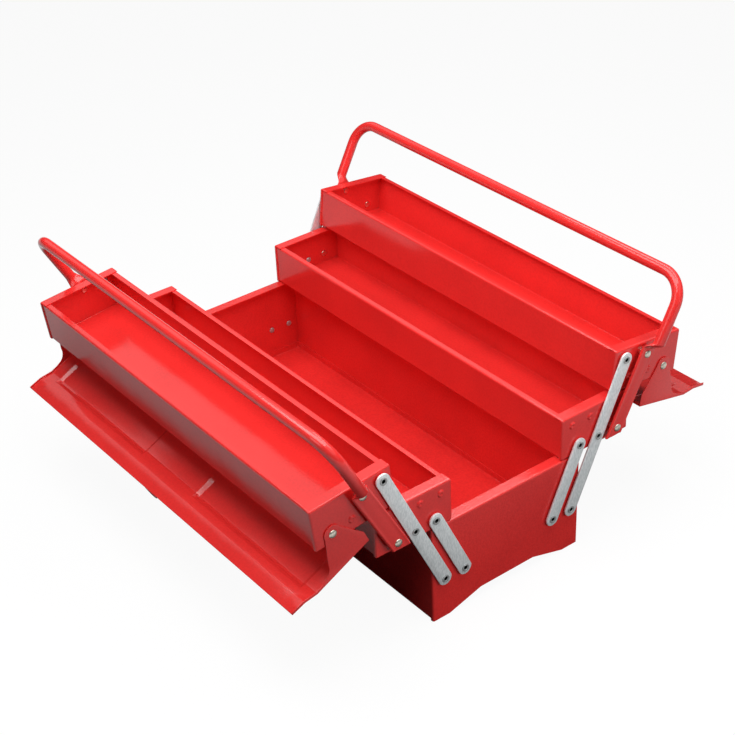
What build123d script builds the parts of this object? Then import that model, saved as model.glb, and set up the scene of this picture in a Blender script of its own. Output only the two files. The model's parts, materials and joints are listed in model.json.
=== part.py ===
"""Five-tray cantilever tool box in painted sheet steel, standing open.

Frame: millimetres, +Z up, +X along the box, +Y across it. The origin lies on the floor under
the middle of the overall footprint. The two open lids hang at different slopes, so that middle
is a little to the +Y side of the base's own middle plane: everything is built about the base's
middle plane and moved across at the end. One side is drawn, the +Y one in its open pose, and
placed on both sides. A point (y, z) of a side is written "across, up".
"""
from build123d import *
import math
import os

os.makedirs("parts", exist_ok=True)

# ---------------------------------------------------------------- driving dimensions
LENGTH = 506.0            # over the base's end plates, along X
BASE_WIDTH = 200.0
BASE_HEIGHT = 117.0
LOWER_TRAY_HEIGHT = 50.0
UPPER_TRAY_HEIGHT = 49.0
SHEET = 1.0               # thickness of the body sheet
BEND = 2.2                # outer radius of a folded edge
END_RIM = 12.5            # width of the rim folded in along an end plate
LONG_RIM = 6.5            # width of the rim folded in along a long wall
LAP = 4.0                 # how far an end plate's side flange laps round the long wall
END_SLACK = 1.4           # a long sheet stops this short of the end plate's inner face

FLOOR_RAISE = 12.0        # base floor above the ground
FLOOR_CURB = 9.0          # height of the floor pan's turned-up edge
FOOT_FLANGE = 12.0        # width of a base wall's bottom flange
FOOT_OUTER = 22.0         # width of an end plate's foot at the ground
ARCH_FLAT = 36.0          # half width of the flat top of the arch under an end plate

TRAY_SETBACK = 4.2        # a closed tray's outer wall stands this far inside the base's
CLOSED_GAP = 0.8          # from the box's middle plane to a closed tray
TRAY_REST = 0.4           # a lower tray's clearance above the base's rim
TRAY_STACK = 1.75         # the same between a closed upper tray and the lower one
LONG_PIVOT_IN = 14.0      # the long link's pivot on the base, from the wall's outer face
LONG_PIVOT_DOWN = 65.0    # and from the base's rim
UPPER_PIVOT_IN = 12.66    # the long link's pivot on the upper tray, from the inner wall
UPPER_PIVOT_DOWN = 11.3   # and from the tray's rim
PIVOT_SPAN = 26.0         # from the long link's pivot to the short link's
DROOP = 6.0               # an open upper tray tips outward by this angle, in degrees
UPPER_STRAP = (27.0, 0.7) # from the long link's pivot to the handle's, across and up
LOWER_STRAP_UP = 1.2      # the same on the lower tray; across, it follows from the linkage

LINK_WIDTH = 16.0
LINK_THICK = 2.0
BOSS_HEIGHT = 1.5         # the pressed boss that stands a link off its end plate
BOSS_RADIUS = 7.0
STUD_RADIUS = 4.5         # an unused pressed boss
STUD_PIT = (1.8, 0.8)     # radius and depth of the pit in its crown
LOWER_TRAY_STUDS = ((14.2, 38.7), (39.7, 38.7))   # from the tray's inner bottom corner
UPPER_TRAY_STUDS = ((24.9, 14.0), (50.9, 14.0))
RUN_GAP = 0.1             # play along X on each side of a turning piece
RIVET_RADIUS = 2.5        # shank
PIVOT_CLEARANCE = 0.06    # radial, shank in a turning piece
SLACK_CLEARANCE = 0.45    # radial, at the linkage's last pivot
LINK_HEAD = (4.2, 0.9)    # radius and height of a flat tubular head
HEAD_BORE = (2.2, 1.7, 1.6)    # its hollow: radius at the mouth, radius at the bottom, depth
DOME_HEAD = (4.4, 1.9)    # radius and height of a domed head
DOME_STEP = 15            # degrees between the corners of the dome's outline
TAIL = (3.6, 1.1)         # radius and height of a rivet's tail inside the sheet
TAIL_ROUND = 0.6
HEAD_EDGE = 0.3           # broken edge of a head or a link
COLLAR_RADIUS = 4.6       # shoulder of a stepped rivet

TUBE_RADIUS = 6.0         # handle
ARM_OUT = 16.0            # from an end plate's face out to the centre of a handle arm
HANDLE_BEND = 29.0        # centre-line radius of the handle's corners
ARM_ABOVE_STRAP = 86.0    # from the upper tray's strap pivot to the crossbar
STRAP_GAP = 0.6           # between a link and the handle's flattened end
STRAP_THICK = 3.0
STRAP_WIDTH = 20.0
STRAP_BEAD = 1.9          # radius of the bead along each edge of the flattened end
STRAP_FOOT = 9.5          # the strap's end below its lower pivot
STRAP_TOP = 9.0           # the flat ends this far above the upper strap pivot
JOGGLE = 15.0             # the joggle from flat to round tube, along the arm
JOGGLE_SHARES = (0, 0.35, 0.7, 1)   # where its cross-sections lie
OVAL_POWER = 0.6          # squareness of a flattened cross-section
OVAL_POINTS = 24

LID_PIVOT_IN = 20.4       # from the upper tray's outer wall
LID_PIVOT_DOWN = 37.2     # from the upper tray's rim
LID_SHEET = 1.0
LID_REACH = 42.9          # from the lid's pivot square to its inner face
LID_OVERHANG = 3.6        # the hinge-side edge stands this far outside the tray's wall
LID_CROSSING = 1.1        # the free edge reaches this far past the box's middle plane when level
LID_CREASES = (30.5, 16.0)     # from the free edge back to the two shallow creases
BAND_DROP = 4.3           # how far the inner face comes nearer to the pivot over the band
TIP_DROP = 5.2            # the same at the free edge
LID_OPEN = {"right": -12.0, "left": -26.8}   # slope of each open lid, in degrees
LID_FLANGE = 2.2          # height of the lid's end flange
EAR_GAP = 0.4             # between an end plate and the lid's ear
EAR_APEX = 9.8            # radius of the ear round its pivot
EAR_ARC = (145.0, 20.0)   # the directions between which that round runs, in degrees
EAR_BACK = (24.5, 12.0)   # top of the hinge-side edge: back from the foot, above the sheet
EAR_NECK = (21.0, 16.9)   # where the front edge starts to sweep out: toward the tip, above the sheet
EAR_SWEEP = (26.0, 6.4)
EAR_TOE = 35.0            # where it runs into the end flange
PANEL_START = 48.0        # from the middle of the lid to a pressed panel
PANEL_END = 27.0          # from the panel's other end to the end plate's face
PANEL_BACK = 14.0         # its hinge-side edge, from the foot of the pivot
PANEL_FRONT = 8.0         # its other edge, from the first crease
PANEL_CORNER = 8.0
PANEL_DEPTH = 1.6
PANEL_WALL = 5.0          # width of the gentle slope round a pressed panel
HASP_RADIUS = 12.0        # padlock tab
HASP_HOLE = 4.0
HASP_HOLE_OUT = 6.5       # from the lid's outer face to the hole's axis
HASP_THICK = 1.5
HASP_FOOT = 11.0          # length of the foot that lies on the lid
HASP_INSET = 0.6          # from the lid's free edge to the tab's face
BEYOND = 600.0            # reaches past the whole box

# ---------------------------------------------------------------- derived places
SIDES = ("left", "right")
ENDS = ("near", "far")
END_X = LENGTH / 2
LINK_X = END_X + BOSS_HEIGHT + RUN_GAP
STRAP_X = LINK_X + LINK_THICK + STRAP_GAP
ARM_X = END_X + ARM_OUT
EAR_X = END_X + EAR_GAP
TRAY_WIDTH = BASE_WIDTH / 2 - TRAY_SETBACK - CLOSED_GAP
UPPER_PIVOT_UP = UPPER_TRAY_HEIGHT - UPPER_PIVOT_DOWN
LID_HEEL = LID_PIVOT_IN + LID_OVERHANG           # these four from the foot of the lid's pivot
LID_TIP = CLOSED_GAP + TRAY_WIDTH - LID_PIVOT_IN + LID_CROSSING
LID_MAIN, LID_BAND = [LID_TIP - crease for crease in LID_CREASES]


def lean(angle):
    """Unit vector in the (across, up) plane, leaning outward from the vertical."""
    return Vector(math.sin(math.radians(angle)), math.cos(math.radians(angle)))


def drooped(point):
    """Turn an (across, up) vector outward and down by the open tray's droop."""
    return Vector(*point).rotate(Axis.Z, -DROOP)


# A closed long link leans inward from the base to the upper tray; open, it leans outward alike.
P0 = Vector(BASE_WIDTH / 2 - LONG_PIVOT_IN, BASE_HEIGHT - LONG_PIVOT_DOWN)
CLOSED_UPPER = Vector(CLOSED_GAP, BASE_HEIGHT + TRAY_REST + LOWER_TRAY_HEIGHT + TRAY_STACK)
STEP = P0 - CLOSED_UPPER - Vector(UPPER_PIVOT_IN, UPPER_PIVOT_UP)
STEP = Vector(STEP.X, -STEP.Y) / 2               # from one pivot of an open long link to the next
P1 = P0 + STEP
P2 = P1 + STEP
Q0 = P0 - Vector(PIVOT_SPAN, 0)
Q1 = P1 - Vector(PIVOT_SPAN, 0)
TRAVEL = 2 * STEP.X                              # a lower tray's way across
LOWER_CORNER = Vector(CLOSED_GAP + TRAVEL, BASE_HEIGHT + TRAY_REST)   # inner bottom corner
UPPER_CORNER = P2 + drooped((-UPPER_PIVOT_IN, -UPPER_PIVOT_UP))
R2 = P2 + drooped(UPPER_STRAP)


def lower_strap_out():
    """How far out of P1 the handle's lower pivot lies, for one pitch to fit both open and closed."""
    opened = R2 - P1 - Vector(0, LOWER_STRAP_UP)
    closed = Vector(-STEP.X, STEP.Y) + Vector(*UPPER_STRAP) - Vector(0, LOWER_STRAP_UP)
    return (opened.length ** 2 - closed.length ** 2) / (2 * (opened.X - closed.X))


R1 = P1 + Vector(lower_strap_out(), LOWER_STRAP_UP)
LID_IN_TRAY = Vector(TRAY_WIDTH - LID_PIVOT_IN, UPPER_TRAY_HEIGHT - LID_PIVOT_DOWN)
LID_PIVOT = UPPER_CORNER + drooped((LID_IN_TRAY.X, LID_IN_TRAY.Y))
STRAP_LEAN = math.degrees(math.atan2((R2 - R1).X, (R2 - R1).Y))
STRAP_PITCH = (R2 - R1).length

LOWER_TRAY_PLACE = Pos(0, LOWER_CORNER.X, LOWER_CORNER.Y)
UPPER_TRAY_PLACE = Pos(0, UPPER_CORNER.X, UPPER_CORNER.Y) * Rot(-DROOP, 0, 0)


# ---------------------------------------------------------------- helpers
def placed(shape, side, end="near"):
    """A shape drawn on the +Y side at the near end (+X), moved to another side and end."""
    if side == "left" and end == "far":
        return Rot(0, 0, 180) * shape
    if side == "left":
        return mirror(shape, about=Plane.XZ)
    if end == "far":
        return mirror(shape, about=Plane.YZ)
    return shape


def on_side(shape, side):
    """A shape that is alike at both ends of the box, on the +Y side or turned to the other."""
    return shape if side == "right" else Rot(0, 0, 180) * shape


def along_x(face, start, length):
    """Extrude a face drawn as (across, up) along +X."""
    return Pos(start, 0, 0) * extrude(Plane.YZ * face, length)


def folded(points, thick=SHEET, radius=BEND):
    """Section of a folded sheet whose outer face follows the points, metal on the left."""
    outer = FilletPolyline(*points, radius=radius)
    return make_face(offset(outer, amount=thick, side=Side.LEFT))


def disc(point, radius, start, length):
    """A round bar along +X at an (across, up) point."""
    return along_x(Pos(point.X, point.Y) * Circle(radius), start, length)


def hole(point, radius, face, thick):
    """Cutter along +X for a round hole in a plate that starts at the given face."""
    return disc(point, radius, face - SHEET, thick + 2 * SHEET)


def turned(point, outline):
    """Solid of revolution along X at an (across, up) point from (x, radius) corners."""
    section = make_face(Polyline(*[(x, r) for x, r in outline], close=True))
    return Pos(0, point.X, point.Y) * revolve(section, Axis.X)


def boss(point, radius=BOSS_RADIUS):
    """A pressed boss: a low cone standing out of an end plate."""
    root, crown = END_X - SHEET / 2, END_X + BOSS_HEIGHT
    return turned(point, [(root, 0), (root, radius), (END_X, radius), (crown, radius - BOSS_HEIGHT),
                          (crown, 0)])


def stud(point):
    """An unused boss with a small pit in its crown."""
    radius, depth = STUD_PIT
    crown = END_X + BOSS_HEIGHT
    pit = turned(point, [(crown - depth, 0), (crown + depth, 2 * radius), (crown + depth, 0)])
    return boss(point, STUD_RADIUS) - pit


# ---------------------------------------------------------------- sheet bodies
def end_pan(width, height):
    """End plate with its flanges, inner bottom corner at (0, 0), outer face at END_X."""
    middle = Pos(0, width / 2, height / 2)
    depth = 2 * END_RIM

    def block(margin, radius):
        box = Pos(END_X - margin - depth / 2, 0, 0) * Box(depth, width - 2 * margin, height - 2 * margin)
        front = box.faces().sort_by(Axis.X)[-1]
        edges = front.edges() + box.edges().filter_by(Axis.X)
        return fillet(edges, radius)
    pan = block(0, BEND) - block(SHEET, BEND - SHEET)
    behind_rim = Pos(END_X - END_RIM - depth / 2, 0, 0) * Box(depth, 2 * width, 2 * height)
    under_rim = Pos(END_X - LAP - depth / 2, 0, -SHEET) * Box(depth, 2 * width, height)
    return middle * (pan - behind_rim - under_rim)


def tray_end(height, bosses, studs, holes):
    """A tray's end plate; the points are (across, up) from its inner bottom corner."""
    plate = end_pan(TRAY_WIDTH, height)
    for point in bosses:
        plate += boss(point)
    for point in studs:
        plate += stud(point)
    for point in holes:
        plate -= hole(point, RIVET_RADIUS, END_X - SHEET, SHEET + BOSS_HEIGHT)
    return plate


def tray_shell(height):
    """Bottom and long walls of a tray folded from one sheet, with rims turned inward."""
    inner, outer, top = SHEET, TRAY_WIDTH - SHEET, height - SHEET
    points = [(outer - LONG_RIM, top), (outer, top), (outer, SHEET), (inner, SHEET),
              (inner, top), (inner + LONG_RIM, top)]
    reach = END_X - SHEET - END_SLACK
    return along_x(folded(points[::-1]), -reach, 2 * reach)


def base_wall():
    """Long wall of the base on the +Y side, with its rim and its foot flange."""
    outer, top = BASE_WIDTH / 2 - SHEET, BASE_HEIGHT - SHEET
    points = [(outer - FOOT_FLANGE, 0), (outer, 0), (outer, top), (outer - LONG_RIM, top)]
    reach = END_X - SHEET - END_SLACK
    return along_x(folded(points), -reach, 2 * reach)


def base_floor():
    """Raised floor pan with its edges turned up against the walls and end plates."""
    half_x, half_y = END_X - SHEET, BASE_WIDTH / 2 - 2 * SHEET

    def block(margin, height, radius):
        box = Pos(0, 0, FLOOR_RAISE + margin + height / 2) * Box(
            2 * (half_x - margin), 2 * (half_y - margin), height)
        edges = box.edges().filter_by(Axis.Z) + box.faces().sort_by(Axis.Z)[0].edges()
        return fillet(edges, radius)
    return block(0, FLOOR_CURB, BEND) - block(SHEET, FLOOR_CURB, BEND - SHEET)


def base_end():
    """End plate of the base with its arched foot, at +X."""
    extra = 2 * BEND
    plate = Pos(0, -BASE_WIDTH / 2, -extra) * end_pan(BASE_WIDTH, BASE_HEIGHT + extra)
    foot = BASE_WIDTH / 2 - FOOT_OUTER
    rise = [(-foot, 0), (-ARCH_FLAT, FLOOR_RAISE), (ARCH_FLAT, FLOOR_RAISE), (foot, 0)]
    below = Polyline((-BASE_WIDTH, 0), *rise, (BASE_WIDTH, 0), (BASE_WIDTH, -2 * extra),
                     (-BASE_WIDTH, -2 * extra), close=True)
    plate -= along_x(make_face(below), 0, BEYOND)
    for pivot in (P0, Q0):
        for point in (pivot, Vector(-pivot.X, pivot.Y)):
            plate += boss(point)
            plate -= hole(point, RIVET_RADIUS, END_X - SHEET, SHEET + BOSS_HEIGHT)
    return plate


# ---------------------------------------------------------------- links and rivets
def link(holes):
    """Flat bar with full-round ends and a hole at each (across, up) point."""
    first, last = holes[0], holes[-1]
    middle = (first + last) / 2
    turn = 90 - math.degrees(math.atan2((last - first).X, (last - first).Y))
    outline = Pos(middle.X, middle.Y) * Rot(0, 0, turn) * SlotCenterToCenter(
        (last - first).length, LINK_WIDTH)
    bar = along_x(outline, LINK_X, LINK_THICK)
    bar = chamfer(bar.faces().sort_by(Axis.X)[-1].edges(), HEAD_EDGE)
    for point in holes:
        bar -= hole(point, RIVET_RADIUS + PIVOT_CLEARANCE, LINK_X, LINK_THICK)
    return bar


def tail_outline():
    """Rivet outline inside the +X end plate, from the axis out to the shank."""
    radius, height = TAIL
    back = END_X - SHEET
    return [(back - height, 0), (back - height, radius - TAIL_ROUND), (back - height + TAIL_ROUND, radius),
            (back, radius), (back, RIVET_RADIUS)]


def link_rivet():
    """Outline of a tubular rivet: tail inside the sheet, flat hollow head over the link."""
    head, height = LINK_HEAD
    mouth, bottom, depth = HEAD_BORE
    seat = LINK_X + LINK_THICK + RUN_GAP
    crown = seat + height
    return tail_outline() + [(seat, RIVET_RADIUS), (seat, head), (crown - HEAD_EDGE, head),
                             (crown, head - HEAD_EDGE), (crown, mouth), (crown - depth, bottom),
                             (crown - depth, 0)]


def dome_rivet(inner_face, thick):
    """Outline of a stepped rivet: tail, shoulder up to the turning piece, shank, domed head."""
    head, height = DOME_HEAD
    shoulder = inner_face - RUN_GAP
    seat = inner_face + thick + RUN_GAP
    dome = [(seat + height * math.sin(math.radians(a)), head * math.cos(math.radians(a)))
            for a in range(0, 90, DOME_STEP)] + [(seat + height, 0)]
    return tail_outline() + [(END_X, RIVET_RADIUS), (END_X, COLLAR_RADIUS), (shoulder, COLLAR_RADIUS),
                             (shoulder, RIVET_RADIUS), (seat, RIVET_RADIUS)] + dome


def rivets(outline, points, side):
    """One side's rivets at the given points and both ends of the box, separate solids in a group."""
    across = 1 if side == "right" else -1
    solids = []
    for end in (1, -1):
        for point in points:
            solids.append(turned(Vector(across * point.X, point.Y), [(end * x, r) for x, r in outline]))
    return Compound(children=solids)


# ---------------------------------------------------------------- handle
def oval_ring(plane, width, thick):
    """Smooth closed face on a plane: a flat oval, or a circle when width equals thick."""
    if width == thick:
        return plane * Circle(width / 2)
    ring = []
    for i in range(OVAL_POINTS):
        angle = 2 * math.pi * i / OVAL_POINTS
        c, s = math.cos(angle), math.sin(angle)
        ring.append((width / 2 * math.copysign(abs(c) ** OVAL_POWER, c),
                     thick / 2 * math.copysign(abs(s) ** OVAL_POWER, s)))
    return plane * make_face(Spline(*ring, periodic=True))


def strap():
    """Flattened end of the handle with its two pivot holes; drawn flat, pivot R1 at (0, 0)."""
    top, below = STRAP_PITCH + STRAP_TOP, 2 * STRAP_FOOT
    middle, length = (top - below) / 2, top + below
    blade = Pos(0, middle, STRAP_THICK / 2) * Box(STRAP_WIDTH, length, STRAP_THICK)
    for edge in (-1, 1):
        bead_at = Pos(edge * (STRAP_WIDTH - STRAP_BEAD) / 2, middle, STRAP_THICK / 2)
        blade += bead_at * Rot(90, 0, 0) * Cylinder(STRAP_BEAD, length)
    cut = Rot(0, 0, STRAP_LEAN) * Pos(0, -STRAP_FOOT - length / 2) * Box(length, length, length)
    blade -= cut
    blade -= Cylinder(RIVET_RADIUS + PIVOT_CLEARANCE, length)
    blade -= Pos(0, STRAP_PITCH) * Cylinder(RIVET_RADIUS + SLACK_CLEARANCE, length)
    return blade


def joggle(frame):
    """The part of a handle arm, at +X, that turns from flat strap to round tube."""
    flat_x = STRAP_X + STRAP_THICK / 2
    rings = []
    for share in JOGGLE_SHARES:
        ease = share * share * (3 - 2 * share)
        x = flat_x + ease * (ARM_X - flat_x)
        width = STRAP_WIDTH + ease * (2 * TUBE_RADIUS - STRAP_WIDTH)
        thick = 2 * STRAP_BEAD + ease * 2 * (TUBE_RADIUS - STRAP_BEAD)
        origin = frame.from_local_coords(Vector(x, STRAP_PITCH + STRAP_TOP + share * JOGGLE, 0))
        rings.append(oval_ring(Plane(origin=origin, x_dir=frame.z_dir, z_dir=frame.y_dir), width, thick))
    return loft(rings)


def handle():
    """One bent tube: crossbar, two arms, and a joggle and a flattened strap at each end."""
    up = lean(STRAP_LEAN)
    frame = Plane(origin=(0, R1.X, R1.Y), x_dir=(1, 0, 0), z_dir=(0, -up.Y, up.X))
    bar_at, arm_from = STRAP_PITCH + ARM_ABOVE_STRAP, STRAP_PITCH + STRAP_TOP + JOGGLE
    bow = FilletPolyline((-ARM_X, arm_from), (-ARM_X, bar_at), (ARM_X, bar_at), (ARM_X, arm_from),
                         radius=HANDLE_BEND)
    path = frame * bow
    tube = sweep(Plane(origin=path @ 0, z_dir=path % 0) * Circle(TUBE_RADIUS), path=path)
    outside = Plane(origin=frame.from_local_coords(Vector(STRAP_X, 0, 0)), x_dir=Vector(0, up.Y, -up.X),
                    z_dir=(1, 0, 0))
    foot = joggle(frame) + outside * strap()
    return tube + foot + mirror(foot, about=Plane.YZ)


# ---------------------------------------------------------------- lid
def lid_place(side):
    """Place of the lid's own (toward its free edge, away from its pivot) frame, side open."""
    slope = LID_OPEN[side]
    return Pos(0, LID_PIVOT.X, LID_PIVOT.Y) * Rot(slope, 0, 0)


def lid_section():
    """Inner face of the lid's sheet, from its hinge-side edge to its free edge."""
    return [(-LID_HEEL, -LID_REACH), (LID_MAIN, -LID_REACH), (LID_BAND, -LID_REACH + BAND_DROP),
            (LID_TIP, -LID_REACH + TIP_DROP)]


def lid_sheet():
    """Creased sheet over the whole length, metal outside the inner face."""
    inner = Polyline(*lid_section())
    face = make_face(offset(inner, amount=LID_SHEET, side=Side.RIGHT))
    reach = EAR_X + LID_SHEET
    return along_x(face, -reach, 2 * reach)


def raised(point, height):
    """The point moved from the lid's inner face toward the pivot."""
    return (point[0], point[1] + height)


def lid_ear():
    """End flange that swells into the hinge ear, at +X, in the lid's own frame."""
    heel, crease, band, tip = lid_section()
    back, neck, sweep_over = [(sign * out, rise - LID_REACH)
                              for sign, (out, rise) in ((-1, EAR_BACK), (1, EAR_NECK), (1, EAR_SWEEP))]
    toe = (EAR_TOE, LID_FLANGE - LID_REACH)
    start, end = [(EAR_APEX * math.cos(math.radians(a)), EAR_APEX * math.sin(math.radians(a)))
                  for a in EAR_ARC]
    front = (neck[0] - end[0], neck[1] - end[1])
    outline = [
        Polyline(heel, back, start),
        ThreePointArc(start, (0, EAR_APEX), end),
        Line(end, neck),
        Spline(neck, sweep_over, toe, tangents=[front, (1, 0)]),
        Polyline(toe, raised(crease, LID_FLANGE), raised(band, LID_FLANGE), raised(tip, LID_FLANGE), tip,
                 band, crease, heel),
    ]
    ear = along_x(make_face(outline), EAR_X, LID_SHEET)
    return ear - hole(Vector(0, 0), RIVET_RADIUS + PIVOT_CLEARANCE, EAR_X, LID_SHEET)


def lid():
    """One lid: sheet, two end flanges with ears, two shallow pressed panels."""
    ear = lid_ear()
    shape = lid_sheet() + ear + mirror(ear, about=Plane.YZ)
    low, high = -PANEL_BACK, LID_MAIN - PANEL_FRONT
    start, end = PANEL_START, END_X - PANEL_END
    mouth = RectangleRounded(end - start, high - low, PANEL_CORNER)
    bottom = RectangleRounded(end - start - 2 * PANEL_WALL, high - low - 2 * PANEL_WALL,
                              PANEL_CORNER - PANEL_WALL)
    pressed = loft([mouth, Pos(0, 0, -PANEL_DEPTH) * bottom])
    for sign in (1, -1):
        place = Pos(sign * (start + end) / 2, (low + high) / 2, -LID_REACH)
        shape = shape + place * Pos(0, 0, -LID_SHEET) * pressed - place * pressed
    return shape


def hasp():
    """Padlock tab: a half-round plate and a foot that lies on the lid's outer face."""
    band, tip = lid_section()[-2:]
    slope = math.degrees(math.atan2(tip[1] - band[1], tip[0] - band[0]))
    width = 2 * HASP_RADIUS
    half = Circle(HASP_RADIUS) & Pos(0, -HASP_RADIUS) * Rectangle(width, width)
    tab = extrude(Plane.XZ * (half - Pos(0, -HASP_HOLE_OUT) * Circle(HASP_HOLE)), HASP_THICK)
    foot = Pos(0, -HASP_FOOT / 2, -HASP_THICK / 2) * Box(width, HASP_FOOT, HASP_THICK)
    return (Pos(0, tip[0], tip[1]) * Rot(slope, 0, 0) * Pos(0, -HASP_INSET, -LID_SHEET)) * (tab + foot)


# ---------------------------------------------------------------- assembly
def lower_tray_end():
    """Lower tray's end plate in its own frame, inner bottom corner at (0, 0)."""
    pivots = [point - LOWER_CORNER for point in (P1, Q1, R1)]
    studs = [Vector(*point) for point in LOWER_TRAY_STUDS]
    return tray_end(LOWER_TRAY_HEIGHT, pivots[:2], studs, pivots)


def upper_tray_end():
    """Upper tray's end plate in its own frame, inner bottom corner at (0, 0)."""
    long_pivot = Vector(UPPER_PIVOT_IN, UPPER_PIVOT_UP)
    strap_pivot = long_pivot + Vector(*UPPER_STRAP)
    studs = [Vector(*point) for point in UPPER_TRAY_STUDS]
    return tray_end(UPPER_TRAY_HEIGHT, [long_pivot], studs, [long_pivot, strap_pivot, LID_IN_TRAY])


def build():
    """All sub-parts by node name."""
    parts = {"base_floor": base_floor()}
    wall, base_plate = base_wall(), base_end()
    lower_shell = LOWER_TRAY_PLACE * tray_shell(LOWER_TRAY_HEIGHT)
    upper_shell = UPPER_TRAY_PLACE * tray_shell(UPPER_TRAY_HEIGHT)
    end_pieces = {
        "lower_tray_end": LOWER_TRAY_PLACE * lower_tray_end(),
        "upper_tray_end": UPPER_TRAY_PLACE * upper_tray_end(),
        "long_link": link([P0, P1, P2]),
        "short_link": link([Q0, Q1]),
    }
    fastened = {
        "base_rivets": (link_rivet(), [P0, Q0]),
        "lower_tray_link_rivets": (link_rivet(), [P1, Q1]),
        "lower_tray_strap_rivets": (dome_rivet(STRAP_X, STRAP_THICK), [R1]),
        "upper_tray_link_rivets": (link_rivet(), [P2]),
        "upper_tray_strap_rivets": (dome_rivet(STRAP_X, STRAP_THICK), [R2]),
        "upper_tray_lid_rivets": (dome_rivet(EAR_X, LID_SHEET), [LID_PIVOT]),
    }
    whole = {"base_wall": wall, "lower_tray_shell": lower_shell, "upper_tray_shell": upper_shell,
             "handle": handle()}
    lid_shape, hasp_shape = lid(), hasp()
    for end in ENDS:
        parts[f"base_end_{end}"] = placed(base_plate, "right", end)
    for side in SIDES:
        for name, shape in whole.items():
            parts[f"{side}_{name}"] = on_side(shape, side)
        for name, shape in end_pieces.items():
            for end in ENDS:
                parts[f"{side}_{name}_{end}"] = placed(shape, side, end)
        for name, (outline, points) in fastened.items():
            parts[f"{side}_{name}"] = rivets(outline, points, side)
        parts[f"{side}_lid"] = on_side(lid_place(side) * lid_shape, side)
        parts[f"{side}_hasp"] = on_side(lid_place(side) * hasp_shape, side)
    return parts


# ---------------------------------------------------------------- export
pieces = build()
lid_edges = (pieces["left_lid"].bounding_box().min.Y, pieces["right_lid"].bounding_box().max.Y)
centred = Pos(0, -sum(lid_edges) / 2, 0)
print(f"the base's middle plane lies at y = {centred.position.Y:.3f}")
for node, shape in pieces.items():
    solids = [centred * solid for solid in shape.solids()]
    whole = solids[0] if len(solids) == 1 else Compound(children=solids)
    export_step(whole, f"parts/{node}.step")
    volume = sum(solid.volume for solid in solids)
    print(f"{node:32s} {len(solids)} solids {volume:9.0f} mm3  size {whole.bounding_box().size}")
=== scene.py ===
# %% [markdown]
# # An open cantilever tool box
# The box is folded from red enamelled sheet steel. Flat zinc links and the two handles carry four
# trays that swing out to the sides. This script loads the built model as a fixed frame, gives
# every sheet its finish, and models anew the pieces whose curves catch the light: handles, lids,
# links and rivets. Each cell first says what a thing is on the real box and how it could be made.

# %% Load the frame
import json
import math

import bmesh
import bpy
from mathutils import Matrix, Vector


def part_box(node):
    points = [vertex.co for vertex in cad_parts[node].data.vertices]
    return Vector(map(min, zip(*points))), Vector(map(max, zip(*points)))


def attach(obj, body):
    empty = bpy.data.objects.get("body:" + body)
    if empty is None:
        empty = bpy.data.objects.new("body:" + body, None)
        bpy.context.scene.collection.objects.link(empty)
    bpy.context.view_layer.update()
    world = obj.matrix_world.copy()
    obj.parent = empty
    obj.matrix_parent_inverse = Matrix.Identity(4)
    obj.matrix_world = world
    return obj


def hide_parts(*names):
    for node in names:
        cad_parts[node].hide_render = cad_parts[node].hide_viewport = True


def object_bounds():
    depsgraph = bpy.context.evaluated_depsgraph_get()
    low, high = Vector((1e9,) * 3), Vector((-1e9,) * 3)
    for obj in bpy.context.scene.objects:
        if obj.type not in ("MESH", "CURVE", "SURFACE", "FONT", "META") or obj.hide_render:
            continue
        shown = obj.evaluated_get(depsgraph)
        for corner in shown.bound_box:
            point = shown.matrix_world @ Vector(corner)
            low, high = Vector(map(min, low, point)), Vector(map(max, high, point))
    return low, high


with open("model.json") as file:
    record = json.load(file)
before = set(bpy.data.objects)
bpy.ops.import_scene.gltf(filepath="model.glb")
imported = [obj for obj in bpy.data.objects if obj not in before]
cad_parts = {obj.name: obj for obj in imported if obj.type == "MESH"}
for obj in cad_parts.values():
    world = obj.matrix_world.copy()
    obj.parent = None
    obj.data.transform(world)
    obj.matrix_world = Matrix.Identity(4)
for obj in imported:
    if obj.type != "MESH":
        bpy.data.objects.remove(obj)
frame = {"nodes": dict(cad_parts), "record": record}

MM = 0.001
nodes = frame["nodes"]
cad_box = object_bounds()
print("CAD box in mm:", [[round(v / MM, 1) for v in corner] for corner in cad_box])


# %% [markdown]
# ## Camera
# The photograph was taken from above the near end of the box with a long lens. Its lens and place
# were worked out from the corners of the base and the link rivets. A camera could also be aimed
# with a Track To constraint, but a fixed matrix keeps its slight roll.

# %% Camera
CAMERA_AT = Vector((1223.6, -894.9, 1101.3)) * MM
CAMERA_RIGHT = Vector((0.61466, 0.78782, -0.03903))
CAMERA_UP = Vector((-0.40275, 0.35601, 0.84324))
LENS, SENSOR = 79.69, 36.0    # focal length and sensor width in millimetres
NEAR_CLIP, FAR_CLIP = 0.05, 50.0


def add_camera():
    """A camera with the photograph's place, aim, roll and lens."""
    lens = bpy.data.cameras.new("photo_camera")
    lens.lens, lens.sensor_width, lens.sensor_fit = LENS, SENSOR, "HORIZONTAL"
    lens.clip_start, lens.clip_end = NEAR_CLIP, FAR_CLIP
    camera = bpy.data.objects.new("photo_camera", lens)
    bpy.context.scene.collection.objects.link(camera)
    back = CAMERA_RIGHT.cross(CAMERA_UP).normalized()
    turn = Matrix((CAMERA_RIGHT, CAMERA_UP, back)).transposed().to_4x4()
    camera.matrix_world = Matrix.Translation(CAMERA_AT) @ turn
    bpy.context.scene.camera = camera


add_camera()
print("camera distance in m:", round(CAMERA_AT.length, 3))


# %% [markdown]
# ## Writing shaders as sums
# A material in Blender is a graph of nodes. Wiring each node by hand hides the idea behind it, so
# a small class lets Python's own signs do it: `peel * 0.4 + 0.2` adds two Math nodes. Any other
# kind of node comes from one method, `node`, which takes its type, its settings and its inputs.
# Noise stays mostly between 0.3 and 0.7, so `between` with limits near these picks out its highs.

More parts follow.
